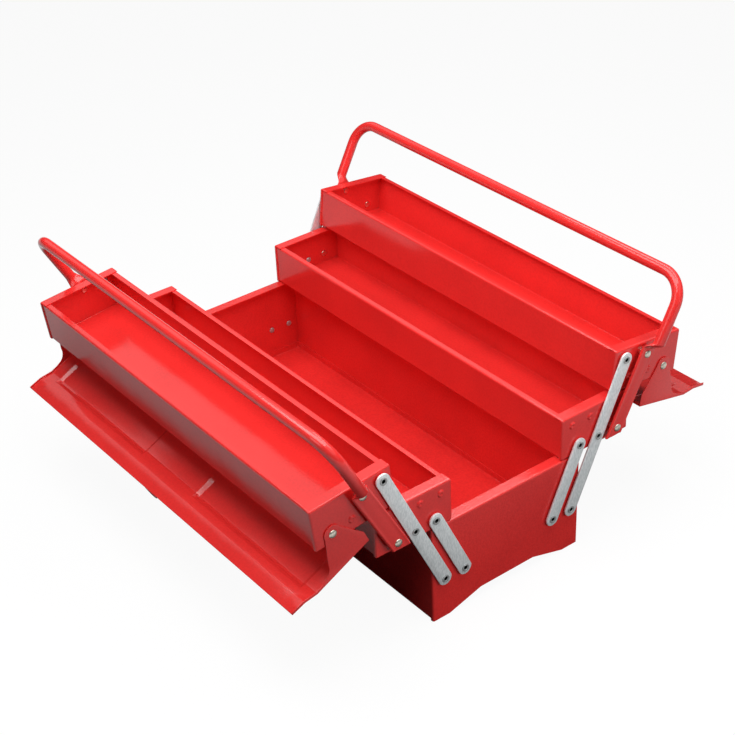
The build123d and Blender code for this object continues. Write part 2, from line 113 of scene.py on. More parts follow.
# %% Shader writing
class Value:
    """A node's output that Python can calculate with."""

    def __init__(self, finish, socket):
        self.finish, self.socket = finish, socket

    def math(self, operation, *inputs):
        """A Math node on these inputs."""
        return self.finish.node("ShaderNodeMath", {"operation": operation}, dict(enumerate(inputs)))

    def __add__(self, other):
        return self.math("ADD", self, other)

    def __sub__(self, other):
        return self.math("SUBTRACT", self, other)

    def __rsub__(self, other):
        return self.math("SUBTRACT", other, self)

    def __mul__(self, other):
        return self.math("MULTIPLY", self, other)

    def __abs__(self):
        return self.math("ABSOLUTE", self)

    __radd__, __rmul__ = __add__, __mul__

    def between(self, low, high):
        """0 below low, 1 above high, and a smooth step from one to the other."""
        return self.finish.node("ShaderNodeMapRange", {"interpolation_type": "SMOOTHSTEP"},
                                {"Value": self, "From Min": low, "From Max": high})


class Finish:
    """The nodes of one material, or of the world, built up from values."""

    def __init__(self, owner):
        self.owner = owner
        owner.use_nodes = True
        self.tree = owner.node_tree
        self.tree.nodes.clear()

    def node(self, kind, settings=None, inputs=None, output=0):
        """Any node: first its settings, then the values or links of its inputs."""
        node = self.tree.nodes.new(kind)
        for key, value in (settings or {}).items():
            setattr(node, key, value)
        for key, value in (inputs or {}).items():
            if isinstance(value, Value):
                self.tree.links.new(value.socket, node.inputs[key])
            else:
                node.inputs[key].default_value = value
        return Value(self, node.outputs[output]) if node.outputs else None

    def place(self, stretch=(1, 1, 1), turn=(0, 0, 0)):
        """Object coordinates, in metres, stretched and turned."""
        at = self.node("ShaderNodeTexCoord", output="Object")
        return self.node("ShaderNodeMapping", None,
                         {"Vector": at, "Rotation": turn, "Scale": stretch})

    def axis(self, vector, index):
        """One number of a vector: index 0, 1 or 2 is its X, Y or Z."""
        return self.node("ShaderNodeSeparateXYZ", None, {0: vector}, index)

    def ray(self, kind):
        """1 for a "Camera", "Glossy" or "Transmission" ray, and 0 for all others."""
        return self.node("ShaderNodeLightPath", output=f"Is {kind} Ray")

    def noise(self, scale, detail=2.0, place=None, rough=0.5):
        """Soft random blotches, about as many to the metre as the scale says."""
        return self.node("ShaderNodeTexNoise", None, {
            "Vector": place or self.place(), "Scale": scale, "Detail": detail, "Roughness": rough})

    def mix(self, share, first, second):
        """Colour first where share is 0 and second where it is 1."""
        return self.node("ShaderNodeMix", {"data_type": "RGBA"}, {0: share, 6: first, 7: second}, 2)

    def bump(self, height, strength, distance, normal=None):
        """A relief of this depth in metres, laid over another relief if one is given."""
        inputs = {"Height": height, "Strength": strength, "Distance": distance}
        if normal:
            inputs["Normal"] = normal
        return self.node("ShaderNodeBump", None, inputs)

    def surface(self, **inputs):
        """Ends the graph in one Principled shader."""
        named = {key.replace("_", " ").title().replace("Ior", "IOR"): value
                 for key, value in inputs.items()}
        shader = self.node("ShaderNodeBsdfPrincipled", None, named)
        self.node("ShaderNodeOutputMaterial", None, {"Surface": shader})
        return self.owner


# %% [markdown]
# ## Red enamel
# The sheets were sprayed and stoved: a full gloss red with a fine orange peel, slightly deeper
# where it pooled, and rubbed duller where tools and hands slide. One function makes it for every
# slot, so that the slots differ only in how mottled, rubbed, dimpled and wavy they are.

# %% Red enamel
RED = (0.84, 0.034, 0.031, 1.0)
DEEP_RED = (0.50, 0.016, 0.018, 1.0)
RUBBED_RED = (0.84, 0.075, 0.068, 1.0)
CLOUDS, GRAINS, STREAKS, SCUFFS, PEEL_DIMPLES, BUCKLES = 14, 420, 5, 60, 460, 9   # per metre
LONG_STREAKS = (1, 9, 9)                   # drawn out along the box
SCUFF_SHAPE, SCUFF_TURN = (1, 6, 6), (0.3, 0.2, 0.5)
GLOSS, GRAIN_ROUGHNESS, WORN_ROUGHNESS = 0.08, 0.08, 0.5
PEEL_DEPTH, BUCKLE_DEPTH = 0.6 * MM, 20 * MM
PAINT_IOR = 1.5


def enamel(name, mottle=0.35, rub=0.25, peel=0.10, wave=0.05):
    """Gloss red paint. The four shares say how strong each unevenness is."""
    paint = Finish(bpy.data.materials.new(name))
    cloud = paint.noise(CLOUDS, 4)
    grain = paint.noise(GRAINS, 3)
    depth = (cloud.between(0.35, 0.75) * 0.5 + grain.between(0.35, 0.7) * 0.5) * mottle
    streaks = paint.noise(STREAKS, 5, paint.place(LONG_STREAKS), 0.65).between(0.55, 0.75)
    scratched = paint.place(SCUFF_SHAPE, SCUFF_TURN)
    scuffs = paint.noise(SCUFFS, 4, scratched, 0.7).between(0.62, 0.72)
    worn = scuffs * streaks * rub
    colour = paint.mix(worn, paint.mix(depth, RED, DEEP_RED), RUBBED_RED)
    roughness = GLOSS + grain * GRAIN_ROUGHNESS + worn * WORN_ROUGHNESS
    skin = paint.bump(paint.noise(PEEL_DIMPLES, 2), peel, PEEL_DEPTH)
    panel = paint.bump(paint.noise(BUCKLES, 2), wave, BUCKLE_DEPTH, skin)
    return paint.surface(base_color=colour, roughness=roughness, ior=PAINT_IOR, normal=panel)


# %% [markdown]
# ## Zinc and bright rivets
# The links were stamped from strip and zinc plated: pale, almost white, with a faint slanted
# grain from rolling. The tubular rivets are the same, a little darker. The domed rivets are
# polished and look warm. The deeper a rivet's bore, the less light comes back out of it, and that
# shade is painted: a mask on the distance along the box darkens the bore, and the head's foot a
# little.

# %% Zinc and bright rivets
ZINC = ((0.96, 0.99, 1.0, 1), (0.70, 0.75, 0.76, 1))          # light and dark of the grain
DULL_ZINC = ((0.62, 0.64, 0.64, 1), (0.30, 0.31, 0.31, 1))
POLISHED = ((0.90, 0.86, 0.74, 1), (0.62, 0.58, 0.48, 1))
# Painted shade: the colour that a rivet's bore takes where little light comes back out of it.
PAINTED_BORE_SHADE = (0.006, 0.006, 0.007, 1.0)
ROLLED, SLANT = (60, 900, 260), (0.9, 0, 0)          # lines of the grain per metre, and its turn
SPANGLES = 120
GRAIN_DEPTH = 0.2 * MM
ROLLED_ROUGHNESS, SPANGLE_ROUGHNESS = 0.12, 0.08
BORE_DARK = (252.3 * MM, 256.8 * MM, 257.05 * MM)    # distances from the box's middle where the painted bore shade is reached, begins to fade and has ended
BORE_FADE = 0.2 * MM                                 # dark is reached, begins to fade and has ended


def plated(name, tones, roughness, lines=0.0, metallic=1.0, hollow=None):
    """Plated steel with a fine slanted grain; below 1, metallic gives it a matt, milky share;
    hollow says where a bore's painted shade lies.
    """
    light, dark = tones
    metal = Finish(bpy.data.materials.new(name))
    slant = metal.noise(1, 3, metal.place(ROLLED, SLANT))
    cloud = metal.noise(SPANGLES, 4)
    colour = metal.mix(slant.between(0.38, 0.62) * 0.6 + cloud * 0.4, dark, light)
    # Painted shade: the bore, and the foot of the head a little, are darkened toward
    # PAINTED_BORE_SHADE by distance along the box.
    if hollow:
        start, fade, end = hollow
        out = abs(metal.axis(metal.node("ShaderNodeTexCoord", output="Object"), 0))
        inside = out.between(start - BORE_FADE, start) * (1 - out.between(fade, end))
        colour = metal.mix(inside, colour, PAINTED_BORE_SHADE)
    rough = roughness + slant * ROLLED_ROUGHNESS + cloud * SPANGLE_ROUGHNESS
    grain = metal.bump(slant, lines, GRAIN_DEPTH)
    return metal.surface(base_color=colour, metallic=metallic, roughness=rough, normal=grain)


# %% [markdown]
# ## A finish for every piece
# The base shows the most orange peel, and lids and handles are rubbed the most. The built model
# names a material slot for each of its nodes, and the finishes have the slots' names, so one loop
# gives every built node its finish.

# %% A finish for every piece
finishes = {
    "base_paint": enamel("base_paint", mottle=0.45, rub=0.35, peel=0.4),
    "tray_paint": enamel("tray_paint", peel=0.16),
    "lid_paint": enamel("lid_paint", rub=0.4, wave=0.09),
    "handle_paint": enamel("handle_paint", mottle=0.25, rub=0.5, wave=0.02),
    "hasp_paint": enamel("hasp_paint", mottle=0.6),
    "link_zinc": plated("link_zinc", ZINC, 0.40, lines=0.3, metallic=0.4),
    "tubular_rivet": plated("tubular_rivet", DULL_ZINC, 0.34, metallic=0.6, hollow=BORE_DARK),
    "domed_rivet": plated("domed_rivet", POLISHED, 0.22),
}
slot_of = {part["node"]: part["material_slot"] for part in frame["record"]["subparts"]}
for name, node in nodes.items():
    node.data.materials.clear()
    node.data.materials.append(finishes[slot_of[name]])
print("finishes:", sorted(finishes))


# %% [markdown]
# ## Where the pivots are
# Each hinge of the built model stands on a pivot, so the frame's own joints say where links,
# handles and lids turn. The handle's upper rivet isn't a joint of the tree; its place is the
# middle of the rivets that sit there. Distances along the box are read from the nodes' boxes.

# %% Where the pivots are
SIDES = ("left", "right")
joints = frame["record"]["behaviour"]["joints"]
joint_at = {joint["name"]: Vector(joint["pos_m"]) for joint in joints}


def middle_of(node):
    """The middle of a CAD node's box."""
    low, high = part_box(node)
    return (low + high) / 2


def pivots(side):
    """The named pivots of one side, on the middle plane of the box's length."""
    at = {
        "P0": joint_at[f"{side}_long_links_swing"],
        "Q0": joint_at[f"{side}_short_links_swing"],
        "P1": joint_at[f"{side}_lower_tray_level"],
        "P2": joint_at[f"{side}_upper_tray_level"],
        "R1": joint_at[f"{side}_handle_swing"],
        "lid": joint_at[f"{side}_lid_swing"],
        "R2": middle_of(f"{side}_upper_tray_strap_rivets"),
    }
    at["Q1"] = at["P1"] + at["Q0"] - at["P0"]
    return at


PIVOTS = {side: pivots(side) for side in SIDES}
SHEET = 1.0 * MM
BOSS = 1.5 * MM                                       # height of the bosses pressed into the ends
END_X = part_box("base_end_near")[1].x - BOSS
LINK_X, LINK_OUTER = [corner.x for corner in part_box("right_long_link_near")]
TURN = Matrix.Rotation(math.pi, 4, "Z")               # from the right side to the left
pitch = (PIVOTS["right"]["P1"] - PIVOTS["right"]["P0"]).length
print("link pitch in mm:", round(pitch / MM, 2))
print("end plates at x in mm:", round(END_X / MM, 2))


# %% [markdown]
# ## Working by operators
# Everything new is shaped as by hand: a primitive, then edit mode. An operator acts on what is
# selected, so two helpers do the selecting. `begin` adds a primitive alone and opens it in edit
# mode; `pick` selects the vertices, edges or faces whose middle passes a test.

# %% Working by operators
CLOSE = 0.1 * MM               # places nearer to each other than this count as the same


def alone(piece):
    """Make one piece the only selected and the active one."""
    bpy.ops.object.select_all(action="DESELECT")
    piece.select_set(True)
    bpy.context.view_layer.objects.active = piece


def begin(name, add, **values):
    """Add a primitive by its operator, with its place in its mesh, and open it in edit mode."""
    bpy.ops.object.select_all(action="DESELECT")
    add(**values)
    piece = bpy.context.object
    piece.name = piece.data.name = name
    bpy.ops.object.transform_apply(location=True, rotation=True, scale=True)
    bpy.ops.object.mode_set(mode="EDIT")
    return piece


def pick(kind, test):
    """Select the "verts", "edges" or "faces" whose middle passes the test; returns how many."""
    bpy.ops.mesh.select_all(action="DESELECT")
    bpy.ops.mesh.select_mode(type={"verts": "VERT", "edges": "EDGE", "faces": "FACE"}[kind])
    mesh = bmesh.from_edit_mesh(bpy.context.object.data)
    found = 0
    for item in getattr(mesh, kind):
        corners = [item] if kind == "verts" else list(item.verts)
        middle = sum((corner.co for corner in corners), Vector()) / len(corners)
        if test(middle, item):
            item.select_set(True)
            found += 1
    mesh.select_flush_mode()
    bmesh.update_edit_mesh(bpy.context.object.data)
    return found


def square_to(edge, axis):
    """True for an edge whose ends are level on this axis."""
    first, last = edge.verts
    return abs(first.co[axis] - last.co[axis]) < CLOSE


def extrude(x=0.0, y=0.0, z=0.0):
    """Extrude what is selected by this much."""
    bpy.ops.mesh.extrude_region_move(TRANSFORM_OT_translate={"value": (x, y, z)})


def scale(centre, x=1.0, y=1.0, z=1.0):
    """Scale what is selected about a centre."""
    bpy.ops.transform.resize(value=(x, y, z), center_override=tuple(centre))


# %% [markdown]
# ## Finishing and copying
# Modifiers do what is hard to do by hand, and are applied at once. `finish` leaves edit mode:
# doubles are merged and the faces turned outward. What repeats is drawn once and copied, each
# copy with its own mesh and its place in that mesh. `dress` says what a piece is made of, which
# body it rides on and which built nodes it stands for.

# %% Finishing and copying
DOUBLES = 0.01 * MM
SMOOTH = 35                    # degrees between faces that still look like one surface


def modify(piece, kind, **settings):
    """Add a modifier and apply it."""
    alone(piece)
    modifier = piece.modifiers.new(kind.title(), kind)
    for key, value in settings.items():
        setattr(modifier, key, value)
    bpy.ops.object.modifier_apply(modifier=modifier.name)


def round_edges(piece, width, segments, angle):
    """Bevel the edges whose faces meet at more than an angle in degrees."""
    modify(piece, "BEVEL", width=width, segments=segments, limit_method="ANGLE",
           angle_limit=math.radians(angle))


def smooth(piece, angle):
    """Shade a piece smooth where its faces meet at less than an angle in degrees."""
    alone(piece)
    bpy.ops.object.shade_smooth_by_angle(angle=math.radians(angle))


def finish(piece):
    """Leave edit mode with a clean, smooth mesh."""
    bpy.ops.mesh.select_all(action="SELECT")
    bpy.ops.mesh.remove_doubles(threshold=DOUBLES)
    bpy.ops.mesh.normals_make_consistent(inside=False)
    bpy.ops.object.mode_set(mode="OBJECT")
    smooth(piece, SMOOTH)
    return piece


def copy_of(piece, name, place):
    """A copy with its own mesh, moved by a matrix that ends up in the mesh."""
    alone(piece)
    bpy.ops.object.duplicate(linked=False)
    twin = bpy.context.object
    twin.name = twin.data.name = name
    twin.matrix_world = place
    bpy.ops.object.transform_apply(location=True, rotation=True, scale=True)
    return twin


def joined(name, parts):
    """Several pieces made one."""
    alone(parts[0])
    for part in parts:
        part.select_set(True)
    bpy.ops.object.join()
    whole = bpy.context.object
    whole.name = whole.data.name = name
    return whole


def dress(piece, body, slot, *replaced):
    """Give a piece its finish, its body and the nodes that it stands for."""
    piece.data.materials.clear()
    piece.data.materials.append(finishes[slot])
    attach(piece, body)
    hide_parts(*replaced)
    print(f"{piece.name}: {len(piece.data.polygons)} faces")


def discard(piece):
    """Throw away a piece that was only copied from."""
    bpy.data.objects.remove(piece, do_unlink=True)


# %% [markdown]
# ## Flat links
# A link is a strip of steel cut with round ends. A circle is added at the lower pivot, and its
# upper half is moved up to the other pivot: what is between stays straight. The face is extruded
# to the strip's thickness and the rims are bevelled, because stamped edges are never sharp. A
# Boolean modifier drills the rivet holes. Both faces are alike, so the far end's links are only
# moved along the box.

# %% Flat links
LINK_WIDTH = 16.0 * MM
ROUND_CORNERS = 32
STAMPED_EDGE = 0.45 * MM
HOLE = 2.6 * MM                    # radius; a rivet's shank turns in it
LINK_THICK = LINK_OUTER - LINK_X
LINKS = [("long", "P0", "P2", (0, 0.5, 1)),          # lower and upper pivot, and the holes as
         ("short", "Q0", "Q1", (0, 1))]              # shares of the way between them


def drill(piece, z):
    """Cut a round hole through an upright link, with a cylinder that is thrown away again."""
    cutter = begin("drill", bpy.ops.mesh.primitive_cylinder_add, vertices=ROUND_CORNERS,
                   radius=HOLE, depth=4 * LINK_THICK, location=((LINK_X + LINK_OUTER) / 2, 0, z),
                   rotation=(0, math.pi / 2, 0))
    bpy.ops.object.mode_set(mode="OBJECT")
    modify(piece, "BOOLEAN", operation="DIFFERENCE", solver="EXACT", object=cutter)
    discard(cutter)


def model_link(name, length, holes):
    """An upright link at the near end, its lower pivot at height 0, with holes at these heights."""
    link = begin(name, bpy.ops.mesh.primitive_circle_add, vertices=ROUND_CORNERS,
                 radius=LINK_WIDTH / 2, fill_type="NGON", location=(LINK_X, 0, 0),
                 rotation=(0, math.pi / 2, 0))
    half_step = math.pi / ROUND_CORNERS      # so that no corner lies where the circle is parted
    bpy.ops.transform.rotate(value=half_step, orient_axis="X", center_override=(LINK_X, 0, 0))
    pick("verts", lambda at, v: at.z > 0)
    bpy.ops.transform.translate(value=(0, 0, length))
    pick("faces", lambda at, f: True)
    extrude(x=LINK_THICK)
    pick("edges", lambda at, e: square_to(e, 0))
    bpy.ops.mesh.bevel(offset=STAMPED_EDGE, segments=3, affect="EDGES")
    finish(link)
    for z in holes:
        drill(link, z)
    smooth(link, SMOOTH)
    return link


def stand(side, foot, head):
    """Matrix that carries an upright piece onto the line from one pivot to another."""
    start, end = PIVOTS[side][foot], PIVOTS[side][head]
    lean = math.atan2(end.y - start.y, end.z - start.z)
    return Matrix.Translation((0, start.y, start.z)) @ Matrix.Rotation(-lean, 4, "X")


def add_links():
    """Draw each link once, and copy it to both sides and both ends."""
    for word, foot, head, shares in LINKS:
        length = (PIVOTS["right"][head] - PIVOTS["right"][foot]).length
        drawn = model_link(f"{word}_link_drawn", length, [share * length for share in shares])
        for side in SIDES:
            for end, move in (("near", 0.0), ("far", -(LINK_X + LINK_OUTER))):
                place = Matrix.Translation((move, 0, 0)) @ stand(side, foot, head)
                link = copy_of(drawn, f"{side}_{word}_link_{end}_bar", place)
                dress(link, f"{side}_{word}_links", "link_zinc", f"{side}_{word}_link_{end}")
        discard(drawn)


add_links()


# %% [markdown]
# ## Rivets
# Rivets are turned parts, and here they are turned too: one circle is extruded along its axis,
# ring by ring, and each ring is scaled to the next radius. The tubular rivets hold the links and
# end in a flat hollow head. The domed ones hold straps and lids, and step out to a shoulder that
# keeps these clear of the end plate. All have a round tail on the inside.

# %% Rivets
SHANK = 2.5 * MM
TAIL = (3.6 * MM, 1.1 * MM)                    # radius and height
TAIL_ROUNDING = ((1.0, 0.75), (0.7, 0.95), (0.0, 1.0))     # shares of its height and radius
FLAT_HEAD = (4.2 * MM, 0.9 * MM)
HEAD_BORE = (3.0 * MM, 2.1 * MM, 4.4 * MM)     # radius at the mouth and in the shank, depth
FUNNEL = 0.7 * MM
DOME = (4.4 * MM, 1.9 * MM)
DOME_STEPS = range(0, 90, 10)                  # degrees up the dome
SHOULDER = 4.6 * MM
PLAY = 0.1 * MM
STRAP_X = LINK_OUTER + 0.6 * MM                # inner face of the handle's strap
STRAP_THICK = 3.0 * MM
EAR_X = END_X + 0.4 * MM                       # inner face of the lid's ear
BROKEN_EDGE = 0.22 * MM


def turned(name, outline):
    """A closed piece turned about the X axis from (x, radius) steps."""
    x, radius = outline[0]
    piece = begin(name, bpy.ops.mesh.primitive_circle_add, vertices=ROUND_CORNERS,
                  radius=radius, fill_type="NGON", location=(x, 0, 0),
                  rotation=(0, math.pi / 2, 0))
    for step_x, step_radius in outline[1:]:
        extrude(x=step_x - x)
        share = step_radius / radius
        scale((step_x, 0, 0), y=share, z=share)
        x, radius = step_x, step_radius
    finish(piece)
    round_edges(piece, BROKEN_EDGE, segments=2, angle=50)
    smooth(piece, 40)
    return piece


def tail_steps():
    """Steps of the round tail behind the end plate, up to the shank."""
    radius, height = TAIL
    back = END_X - SHEET
    rounded = [(back - height * down, radius * out) for down, out in TAIL_ROUNDING]
    return rounded + [(back, SHANK)]


def flat_headed():
    """Steps of a tubular rivet: tail, shank, flat head, and the bore down into it."""
    radius, height = FLAT_HEAD
    mouth, bottom, depth = HEAD_BORE
    seat = LINK_OUTER + PLAY
    return tail_steps() + [(seat, SHANK), (seat, radius), (seat + height, radius),
                           (seat + height, mouth), (seat + height - FUNNEL, bottom),
                           (seat + height - depth, bottom)]


def dome_headed(inner_face, thick):
    """Steps of a domed rivet that holds a sheet of this inner face and thickness."""
    radius, height = DOME
    seat = inner_face + thick + PLAY
    turns = [math.radians(angle) for angle in DOME_STEPS]
    dome = [(seat + height * math.sin(a), radius * math.cos(a)) for a in turns]
    return tail_steps() + [(END_X, SHANK), (END_X, SHOULDER), (inner_face - PLAY, SHOULDER),
                           (inner_face - PLAY, SHANK), (seat, SHANK)] + dome


# %% [markdown]
# ## Rivets in their places
# Each kind is turned once and copied to every pivot that it belongs to, at the near end and,
# turned half round, at the far end. The copies that sit in one body's same row are joined into
# one piece, as in the built model.

# %% Rivets in their places
RIVET_ROWS = [                 # built node, body, kind, finish, pivots
    ("base_rivets", "base", "flat", "tubular_rivet", ("P0", "Q0")),
    ("lower_tray_link_rivets", "lower_tray", "flat", "tubular_rivet", ("P1", "Q1")),
    ("upper_tray_link_rivets", "upper_tray", "flat", "tubular_rivet", ("P2",)),
    ("lower_tray_strap_rivets", "lower_tray", "strap", "domed_rivet", ("R1",)),
    ("upper_tray_strap_rivets", "upper_tray", "strap", "domed_rivet", ("R2",)),
    ("upper_tray_lid_rivets", "upper_tray", "ear", "domed_rivet", ("lid",)),
]


def add_rivets():
    """Turn each kind of rivet once, and copy it to all its pivots."""
    kinds = {
        "flat": turned("flat_rivet_drawn", flat_headed()),
        "strap": turned("strap_rivet_drawn", dome_headed(STRAP_X, STRAP_THICK)),
        "ear": turned("ear_rivet_drawn", dome_headed(EAR_X, SHEET)),
    }
    for node, body, kind, slot, names in RIVET_ROWS:
        for side in SIDES:
            group = []
            for name in names:
                at = PIVOTS[side][name]
                for turn in (Matrix.Identity(4), TURN):
                    place = Matrix.Translation((0, at.y, at.z)) @ turn
                    group.append(copy_of(kinds[kind], f"{side}_{name}_rivet", place))
            rivets = joined(f"{side}_{node}_turned", group)
            dress(rivets, body if body == "base" else f"{side}_{body}", slot, f"{side}_{node}")
    for drawn in kinds.values():
        discard(drawn)


add_rivets()


# %% [markdown]
# ## Handles
# A handle is one steel tube, bent twice and flattened at its ends into riveted straps. It could
# be a curve with a bevel, but a curve can't change its cross-section. So one ring is extruded
# along the bar, spun round the bend, and then pressed flat step by step as it runs down into the
# strap. Where a tube is pressed flat its two sides stay round, so there the ring's outer points
# are spread out and the middle ones are pressed in. One half is made, and a Mirror modifier adds
# the other.

# %% Handles
TUBE = 6.0 * MM
BEND = 29.0 * MM
BEND_STEPS = 14
ARM_X = END_X + 16.0 * MM
ARM_ABOVE = 86.0 * MM          # from the upper rivet to the middle of the bar
FLAT_ABOVE = 5.8 * MM          # the flat begins this far above the upper rivet
JOGGLE = 9.5 * MM              # height over which the tube steps in and turns flat
JOGGLE_STEPS = (0.15, 0.3, 0.45, 0.6, 0.75, 0.9, 1.0)
PRESS_RUN = 4.0 * MM           # below the joggle, until the flat has its last cross-section
STRAP_WIDTH = 20.0 * MM
STRAP_SIDE = 3.8 * MM          # thickness of the round sides of the flat
STRAP_FOOT = 9.5 * MM          # below the lower rivet
STRAP_EDGE = 0.5 * MM
TUBE_CORNERS = 32
PRESSED = [(0.40, 1.00, 1.75),      # from and to these shares of the strap's width out from its
           (0.30, 0.40, 1.12),      # middle, the thickness is multiplied by the third number
           (-1.0, 0.30, 0.84)]      # (from -1 takes in the middle itself)


def press(ring_x, ring_z):
    """Shape the flat's cross-section: sides round and thick, middle level."""
    for low, high, thicker in PRESSED:
        pick("verts", lambda at, v: abs(at.z - ring_z) < CLOSE
             and STRAP_WIDTH * low < abs(at.y) <= STRAP_WIDTH * high)
        scale((ring_x, 0, ring_z), x=thicker)
    pick("verts", lambda at, v: abs(at.z - ring_z) < CLOSE)


def blend(start, end, share):
    """The value this share of the way from start to end."""
    return start + share * (end - start)


def model_handle(pitch, lean):
    """Upright handle, lower pivots on the X axis; the strap's end is level once it leans."""
    bar_z = pitch + ARM_ABOVE
    handle = begin("handle_drawn", bpy.ops.mesh.primitive_circle_add, vertices=TUBE_CORNERS,
                   radius=TUBE, location=(0, 0, bar_z), rotation=(0, math.pi / 2, 0))
    extrude(x=ARM_X - BEND)
    bpy.ops.mesh.spin(steps=BEND_STEPS, angle=-math.pi / 2, axis=(0, 1, 0),
                      center=(ARM_X - BEND, 0, bar_z - BEND))
    z = pitch + FLAT_ABOVE + JOGGLE
    extrude(z=z - (bar_z - BEND))
    flat_x = STRAP_X + STRAP_THICK / 2
    x, width, thick = ARM_X, 2 * TUBE, 2 * TUBE
    for share in JOGGLE_STEPS:
        ease = share * share * (3 - 2 * share)       # slow at both ends of the joggle
        new_x = blend(ARM_X, flat_x, ease)
        new_z = pitch + FLAT_ABOVE + JOGGLE * (1 - share)
        new_width = blend(2 * TUBE, STRAP_WIDTH, ease)
        new_thick = blend(2 * TUBE, STRAP_SIDE, ease)
        extrude(x=new_x - x, z=new_z - z)
        scale((new_x, 0, new_z), x=new_thick / thick, y=new_width / width)
        x, z, width, thick = new_x, new_z, new_width, new_thick
    extrude(z=-PRESS_RUN)
    z -= PRESS_RUN
    press(x, z)
    extrude(z=-STRAP_FOOT - z)
    bpy.ops.transform.rotate(value=-lean, orient_axis="X", center_override=(x, 0, -STRAP_FOOT))
    level = 1 / math.cos(lean)
    scale((x, 0, -STRAP_FOOT), y=level, z=level)
    bpy.ops.mesh.edge_face_add()
    finish(handle)
    modify(handle, "MIRROR", use_clip=True, merge_threshold=CLOSE)
    round_edges(handle, STRAP_EDGE, segments=2, angle=60)
    smooth(handle, 40)
    return handle


# %% [markdown]
# ## Handles in their places
# The handle is drawn upright and then leaned onto the line through its two rivets. The other
# side's handle is the same piece after half a turn, as it would be if both came from one bending
# jig.

# %% Handles in their places
def side_turned(pivot):
    """Half turn that carries the right side onto the left, through the same pivot's middle."""
    middle_y = (PIVOTS["right"][pivot].y + PIVOTS["left"][pivot].y) / 2
    return Matrix.Translation((0, middle_y, 0)) @ TURN @ Matrix.Translation((0, -middle_y, 0))


def add_handles():
    """Draw one handle, and stand a copy of it on each side."""
    along = PIVOTS["right"]["R2"] - PIVOTS["right"]["R1"]
    drawn = model_handle(along.length, math.atan2(along.y, along.z))
    heights = [vertex.co.z / MM for vertex in drawn.data.vertices]
    print("handle from", round(min(heights), 1), "to", round(max(heights), 1), "mm along its arms")
    for side in SIDES:
        place = stand("right", "R1", "R2")
        if side == "left":
            place = side_turned("R1") @ place
        handle = copy_of(drawn, f"{side}_bent_tube", place)
        dress(handle, f"{side}_handle", "handle_paint", f"{side}_handle")
    discard(drawn)


add_handles()


# %% [markdown]
# ## A lid's ears
# A lid hangs on its upper tray by two ears, which swell out of the flanges folded up at its ends.
# An ear could be a disc joined to the flange, but then the two would not flow into each other. So
# the flange's top edge is extruded row by row, each row moved and scaled to the ear's width
# there: first the neck, and then a half circle round the rivet.

# %% A lid's ears
LID_REACH = 42.9 * MM                     # from the pivot down to the sheet's inner face
LID_HEEL = 24.0 * MM                      # from the pivot back to the rear edge
FLANGE = 2.2 * MM
EAR_FOOT = 38.0 * MM                      # where the ear's front meets the flange
EAR_TOP = 9.8 * MM                        # radius of the ear round its rivet
EAR_NECK = [(3.2, -24.1, 31.5), (4.6, -24.2, 28.5), (6.6, -24.3, 26.0),
            (9.5, -24.4, 23.7), (12.0, -24.5, 22.4), (16.9, -22.3, 21.0)]
EAR_ANGLES = (0, 20, 35, 50, 65, 80)


def ear_rows():
    """Height over the sheet, and the back and front ends, of each row of an ear."""
    rows = [(up * MM, back * MM, front * MM) for up, back, front in EAR_NECK]
    for angle in EAR_ANGLES:
        up, out = EAR_TOP * math.sin(math.radians(angle)), EAR_TOP * math.cos(math.radians(angle))
        rows.append((LID_REACH + up, -out, out))
    return rows


def grow_ear(x):
    """Extrude the flange's top edge, between heel and toe, up into the ear."""
    up, back, front = FLANGE, -LID_HEEL, EAR_FOOT
    pick("edges", lambda at, e: abs(at.x - x) < CLOSE and at.z > FLANGE - LID_REACH - CLOSE
         and at.y < EAR_FOOT and square_to(e, 2))
    for new_up, new_back, new_front in ear_rows():
        extrude(y=(new_back + new_front - back - front) / 2, z=new_up - up)
        middle = (x, (new_back + new_front) / 2, new_up - LID_REACH)
        scale(middle, y=(new_front - new_back) / (front - back))
        up, back, front = new_up, new_back, new_front


# %% [markdown]
# ## A lid's sheet
# A lid is one sheet: nearly flat, with two shallow creases that lift its free edge, a flange
# folded up at each end, and two wide panels pressed into it to stiffen it. A plane is laid where
# the flat is, and its front edge is extruded over the creases. The panels' outlines are cut in
# with bisect, and inset with a depth gives them sloping walls. The end edges are extruded up into
# flange and ear.

# %% A lid's sheet
LID_MAIN, LID_BAND, LID_TIP = 46.0 * MM, 60.5 * MM, 76.5 * MM     # creases and free edge
BAND_RISE, TIP_RISE = 4.3 * MM, 5.2 * MM
PANEL_X = (48.0 * MM, END_X - 17.0 * MM)
PANEL_Y = (-14.0 * MM, 52.5 * MM)         # the front wall climbs the first crease
PANEL_WALL, PANEL_DEPTH = 4.4 * MM, 2.3 * MM


